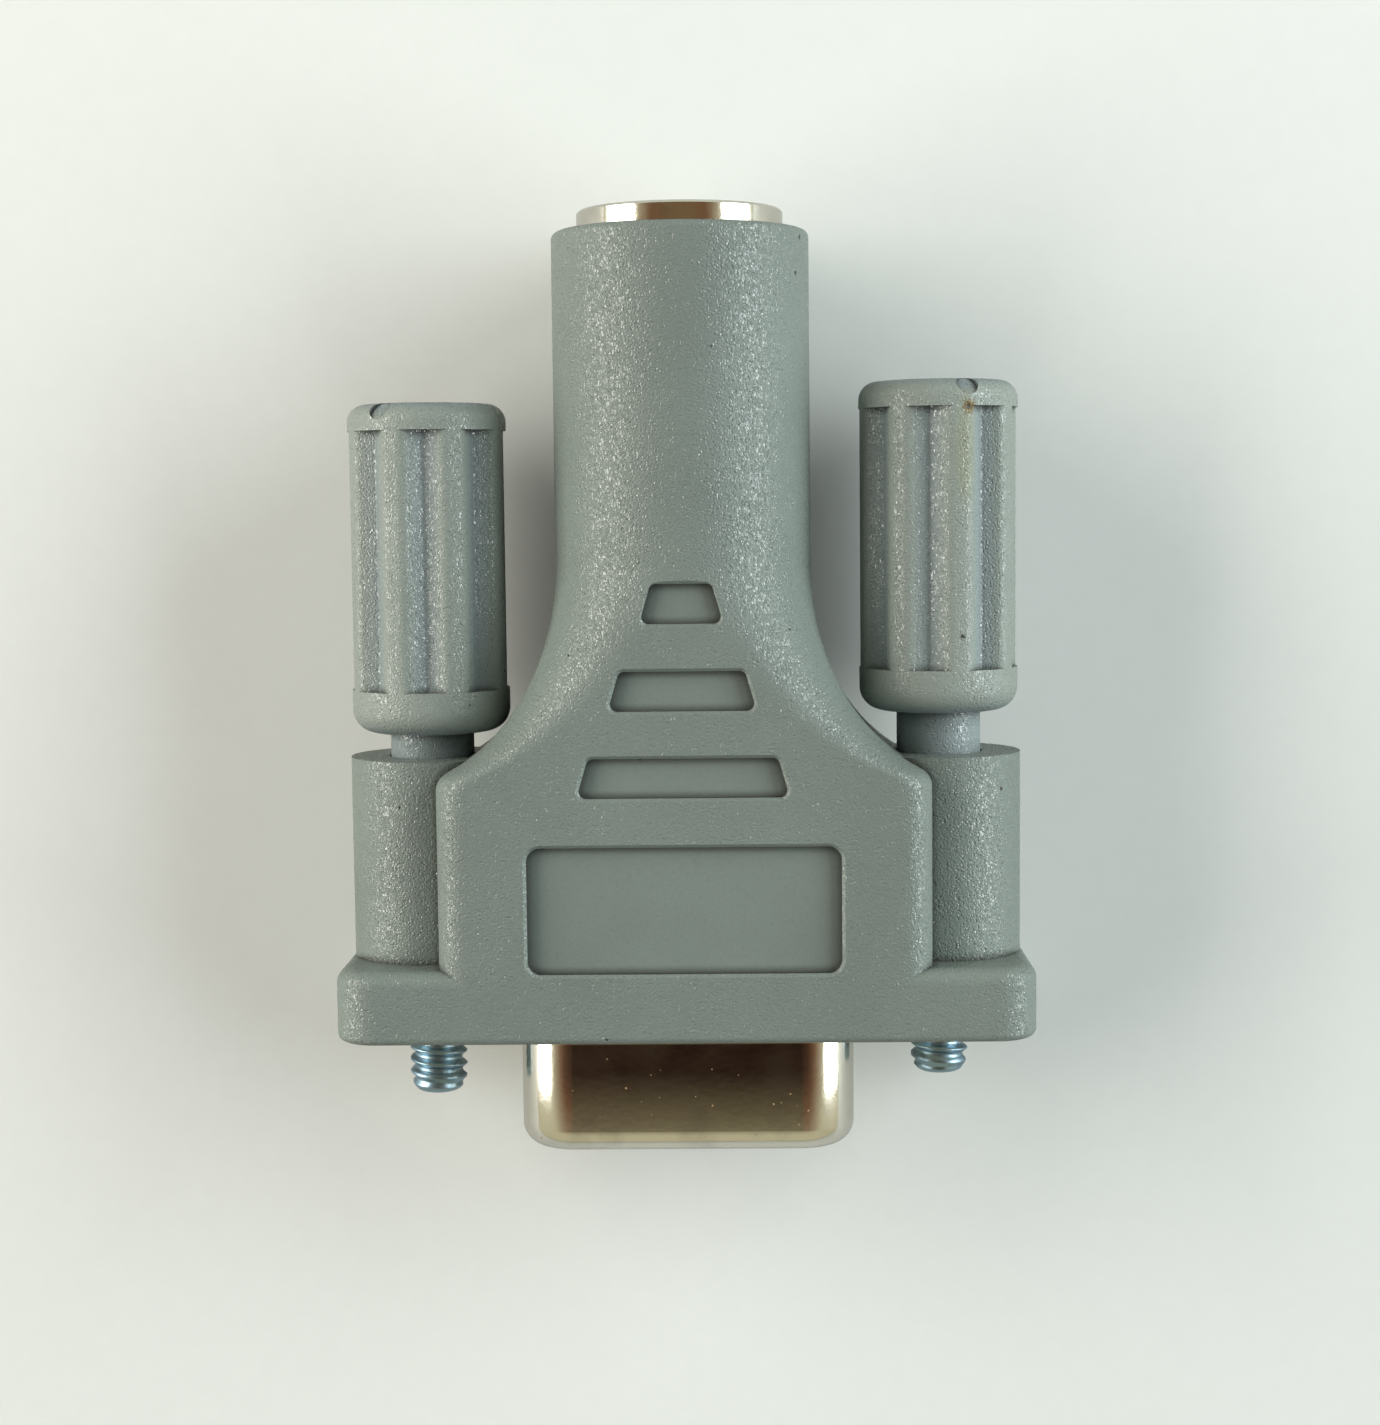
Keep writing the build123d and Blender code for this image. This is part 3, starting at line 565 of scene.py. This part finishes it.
def turned_surface(radii, places, centre, turns):
    """Points and faces of a closed surface round a line along Y.

    radii holds one row for each place along the line and one column for each angle, and both ends are closed
    by a middle point.
    """
    rows, columns = radii.shape
    x = centre[0] + radii * np.cos(turns)[None, :]
    z = centre[2] + radii * np.sin(turns)[None, :]
    y = np.repeat(places[:, None], columns, axis=1)
    sides = np.stack([x, y, z], axis=-1).reshape(-1, 3)
    ends = np.array([[centre[0], places[0], centre[2]], [centre[0], places[-1], centre[2]]])
    points = np.concatenate([sides, ends])

    i, j = np.meshgrid(np.arange(rows - 1) * columns, np.arange(columns), indexing="ij")
    k = (j + 1) % columns
    quads = np.stack([i + j, i + columns + j, i + columns + k, i + k], axis=-1).reshape(-1, 4)
    ring = np.arange(columns)
    after = (ring + 1) % columns
    last_row = (rows - 1) * columns
    first_end, last_end = np.full(columns, rows * columns), np.full(columns, rows * columns + 1)
    near = np.stack([first_end, ring, after], axis=-1)
    far = np.stack([last_end, last_row + after, last_row + ring], axis=-1)
    return points, quads.tolist() + near.tolist() + far.tolist()


def screw_radii(turns, tip, end, outer, metal):
    """Radius of the screw at each place and angle.

    The thread's radius falls from its crest to its root by a triangle wave of the angle and the place, cut
    flat at an eighth of its width at the crest and a quarter at the root. The tip follows a quarter ellipse,
    and the thread fades into the shank over its last turn.
    """
    crest, root = 1 / 8, 3 / 4
    pitch, depth = metal.thread_pitch, metal.thread_depth
    thread_start, thread_end = tip + metal.tip_length, tip + metal.thread_reach
    dome = tip + metal.tip_length * (1 - np.cos(np.linspace(0.0, np.pi / 2, TIP_ROWS + 1)[:-1]))
    thread = np.arange(thread_start, thread_end, pitch / ROWS_PER_TURN)
    places = np.concatenate([dome, thread, [thread_end, end]])
    wave = np.abs(((places[:, None] / pitch - turns[None, :] / (2 * np.pi)) % 1.0) * 2 - 1)
    fall = np.clip((wave - crest) / (root - crest), 0.0, 1.0)
    fade = np.clip((thread_end - places) / pitch, 0.0, 1.0)
    radius = outer - depth * fall
    radius = metal.shank + (radius - metal.shank) * fade[:, None]
    near_tip = np.clip(1 - (places - tip) / metal.tip_length, 0.0, 1.0)
    cap = outer - metal.tip_round * (1 - np.sqrt(1 - near_tip**2))
    return np.minimum(radius, cap[:, None]), places


class ADAPTER_OT_plastic(bpy.types.Operator):
    """Finishes the hood, the grips and the plastic pieces inside"""

    bl_idname = "adapter.plastic"
    bl_label = "Plastic pieces"

    def execute(self, context):
        plastic = settings("plastic")
        finish_node("moulded_hood", moulded_plastic("grey_hood", plastic.hood_colour, HOOD_STAINS))
        grip = moulded_plastic("grey_grip", plastic.grip_colour, GRIP_STAINS, plastic.flute_shade_colour)
        for name in GRIPS:
            finish_node(name, grip)
        inner = plain_plastic("natural_plastic", plastic.inner_colour, roughness=0.45)
        finish_node("inner_premould", inner)
        insulator = plain_plastic("black_insulator", plastic.insulator_colour, roughness=0.38)
        for name in INSULATORS:
            finish_node(name, insulator)
        return {"FINISHED"}


class ADAPTER_OT_metal(bpy.types.Operator):
    """Finishes the plated shells, the ring, the eyelets and the contacts"""

    bl_idname = "adapter.metal"
    bl_label = "Shells and contacts"

    def execute(self, context):
        metal = settings("metal")
        tint, roughness = metal.nickel_colour, metal.nickel_roughness
        wear = {"size": 0.3 * MM, "depth": 0.004 * MM, "dull": 0.8}
        nickel = plated_metal("nickel_plating", tint, roughness, **wear)
        for name in PLATED:
            finish_node(name, nickel)
        finish_node("dsub_front_shell", drawn_metal("drawn_shell", tint, roughness + 0.06, **wear))
        wear = {"size": 0.1 * MM, "depth": 0.002 * MM, "dull": 0.85}
        contact = plated_metal("contact_metal", metal.contact_colour, roughness=0.22, **wear)
        for name in CONTACTS:
            finish_node(name, contact)
        return {"FINISHED"}


class ADAPTER_OT_wires(bpy.types.Operator):
    """Gives each wire its own cover colour"""

    bl_idname = "adapter.wires"
    bl_label = "Wires"

    def execute(self, context):
        for name, tint in WIRES.items():
            finish_node(name, plain_plastic(name + "_cover", tint, roughness=0.4))
        return {"FINISHED"}


class ADAPTER_OT_screws(bpy.types.Operator):
    """Makes the two threaded screws"""

    bl_idname = "adapter.screws"
    bl_label = "Threaded screws"

    def execute(self, context):
        metal = settings("metal")
        wear = {"size": 0.12 * MM, "depth": 0.008 * MM, "dull": 0.6}
        zinc = plated_metal("zinc_plating", metal.zinc_colour, roughness=0.34, **wear)
        turns = np.linspace(0, 2 * np.pi, SCREW_COLUMNS, endpoint=False)
        for name in SCREWS:
            low, high = (np.array(corner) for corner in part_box(name))
            centre = (low + high) / 2
            outer = (high[0] - low[0]) / 2
            radii, places = screw_radii(turns, low[1], high[1], outer, metal)
            points, faces = turned_surface(radii, places, centre, turns)
            body = name.replace("screw", "thumbscrew")
            piece = mesh_piece(name + "_threaded", points, faces, zinc, body)
            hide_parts(name)
        return {"FINISHED"}


class ADAPTER_OT_stage(bpy.types.Operator):
    """Makes the floor, the lamps, the background and the camera"""

    bl_idname = "adapter.stage"
    bl_label = "Studio"

    def execute(self, context):
        stage = settings("stage")
        make_floor(stage, CAD_BOX[0][2])
        make_lamp(stage, "left_lamp", -1, stage.left_lamp_colour)
        make_lamp(stage, "right_lamp", 1, stage.right_lamp_colour)
        make_background(stage)
        make_camera()
        context.scene.view_settings.view_transform = "Standard"
        return {"FINISHED"}


def paper(stage):
    """Pale paper with faint clouds, which is clear from below and where the adapter touches it.

    It has its full colour for the camera, most of it for what metal mirrors, and a darker one for the light
    that it throws on the adapter.
    """
    material, n = new_material("floor_paper")
    clouds = n.noise(n.place(), PAPER_CLOUDS, detail=3.0)
    base = n.fade(clouds, 0.3, 0.7, shaded(stage.floor_colour, 0.985), shaded(stage.floor_colour))
    path = n.add("ShaderNodeLightPath").outputs
    seen = n.math("MAXIMUM", path["Is Camera Ray"], n.math("MULTIPLY", path["Is Glossy Ray"], 0.6))
    base = n.mix(seen, shaded(stage.bounce_colour), base)
    sheet = n.add("ShaderNodeBsdfPrincipled", {"Base Color": base, "Roughness": 0.9})
    clear = n.add("ShaderNodeBsdfTransparent")
    below = n.add("ShaderNodeNewGeometry").outputs["Backfacing"]
    touching = n.math("LESS_THAN", path["Ray Length"], 0.02 * MM)
    unseen = n.math("MAXIMUM", below, touching)
    both = n.add("ShaderNodeMixShader", {0: unseen, 1: sheet.outputs[0], 2: clear.outputs[0]})
    n.add("ShaderNodeOutputMaterial", {"Surface": both.outputs[0]})
    return material


def make_floor(stage, height):
    """A large plain square under the adapter."""
    corners = [(-1, -1), (1, -1), (1, 1), (-1, 1)]
    points = [(x * FLOOR_REACH, y * FLOOR_REACH, height) for x, y in corners]
    mesh = bpy.data.meshes.new("floor")
    mesh.from_pydata(points, [], [[0, 1, 2, 3]])
    mesh.materials.append(paper(stage))
    floor = bpy.data.objects.new("floor", mesh)
    bpy.context.scene.collection.objects.link(floor)


def make_lamp(stage, name, side, tint):
    """A soft oblong lamp beside the adapter, turned towards it."""
    light = bpy.data.lights.new(name, "AREA")
    light.shape = "RECTANGLE"
    light.size = stage.lamp_width
    light.size_y = stage.lamp_length
    light.energy = stage.lamp_energy
    light.color = tint
    lamp = bpy.data.objects.new(name, light)
    bpy.context.scene.collection.objects.link(lamp)
    aim = Matrix.Translation((0.0, stage.lamp_aim, 0.0))
    swing = Matrix.Rotation(side * stage.lamp_swing, 4, "Z")
    turn = Matrix.Rotation(side * stage.lamp_angle, 4, "Y")
    lift = Matrix.Translation((0.0, 0.0, stage.lamp_reach))
    lamp.matrix_world = aim @ swing @ turn @ lift


def make_background(stage):
    """World light: a weak even fill, strong only from under the floor, and white to the camera.

    What metal mirrors is beige low down, turns olive towards the top, brown to the left and right of it, and
    overhead it is nearly black towards the D socket and tan towards the round one.
    """
    world = bpy.data.worlds.new("studio_air")
    world.use_nodes = True
    world.node_tree.nodes.clear()
    n = Nodes(world.node_tree)
    way = n.split(n.add("ShaderNodeTexCoord").outputs["Generated"])
    aside = n.math("ABSOLUTE", way["X"])
    upper = n.fade(aside, 0.06, 0.2, shaded(stage.high_mirrored), shaded(stage.side_mirrored))
    overhead = n.fade(way["Y"], -0.1, 0.1, shaded(stage.near_mirrored), shaded(stage.far_mirrored))
    upper = n.fade(way["Z"], 0.86, 0.975, upper, overhead)
    mirrored = n.fade(way["Z"], 0.6, 0.86, shaded(stage.low_mirrored), upper)
    white = (1.0, 1.0, 1.0)
    fill = n.fade(way["Z"], -0.05, 0.0, shaded(white, stage.under_fill), shaded(white, stage.fill))
    path = n.add("ShaderNodeLightPath").outputs
    air = n.mix(path["Is Glossy Ray"], fill, mirrored)
    air = n.mix(path["Is Camera Ray"], air, shaded(white))
    back = n.add("ShaderNodeBackground", {"Color": air, "Strength": 1.0})
    n.add("ShaderNodeOutputWorld", {"Surface": back.outputs[0]})
    bpy.context.scene.world = world


def make_camera():
    """The camera of the photograph: its place, its turns and its focal length."""
    pitch, yaw, roll = CAMERA_TURNS
    look = Matrix.Rotation(roll, 3, "Z") @ Matrix.Rotation(yaw, 3, "Y") @ Matrix.Rotation(pitch, 3, "X")
    place = Matrix.Translation([v * MM for v in CAMERA_PLACE])
    lens = bpy.data.cameras.new("camera")
    lens.sensor_fit = "VERTICAL"
    lens.sensor_height = SENSOR_HEIGHT
    lens.lens = FOCAL_LENGTH * SENSOR_HEIGHT / PHOTO_HEIGHT
    lens.clip_start = 5.0 * MM
    lens.clip_end = 20.0
    camera = bpy.data.objects.new("camera", lens)
    bpy.context.scene.collection.objects.link(camera)
    camera.matrix_world = place @ look.transposed().to_4x4()
    bpy.context.scene.camera = camera


class ADAPTER_PT_panel(bpy.types.Panel):
    """Lists the adapter's operators and settings"""

    bl_idname = "ADAPTER_PT_panel"
    bl_label = "Serial mouse adapter"
    bl_space_type = "VIEW_3D"
    bl_region_type = "UI"
    bl_category = "Adapter"

    def draw(self, context):
        for operator in OPERATORS:
            self.layout.operator(operator.bl_idname)
        for kind, group in GROUPS.items():
            box = self.layout.box()
            box.label(text=kind.capitalize())
            for name in group.__annotations__:
                box.prop(settings(kind), name)


OPERATORS = (ADAPTER_OT_plastic, ADAPTER_OT_metal, ADAPTER_OT_wires, ADAPTER_OT_screws, ADAPTER_OT_stage)
GROUPS = {"plastic": AdapterPlasticSettings, "metal": AdapterMetalSettings, "stage": AdapterStageSettings}


def register():
    for kind, group in GROUPS.items():
        bpy.utils.register_class(group)
        setattr(bpy.types.Scene, "adapter_" + kind, bpy.props.PointerProperty(type=group))
    for operator in OPERATORS:
        bpy.utils.register_class(operator)
    bpy.utils.register_class(ADAPTER_PT_panel)


def unregister():
    bpy.utils.unregister_class(ADAPTER_PT_panel)
    for operator in reversed(OPERATORS):
        bpy.utils.unregister_class(operator)
    for kind, group in GROUPS.items():
        delattr(bpy.types.Scene, "adapter_" + kind)
        bpy.utils.unregister_class(group)


def main():
    """Registers the add-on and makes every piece."""
    register()
    bpy.ops.adapter.plastic()
    bpy.ops.adapter.metal()
    bpy.ops.adapter.wires()
    bpy.ops.adapter.screws()
    bpy.ops.adapter.stage()


if __name__ == "__main__":
    main()
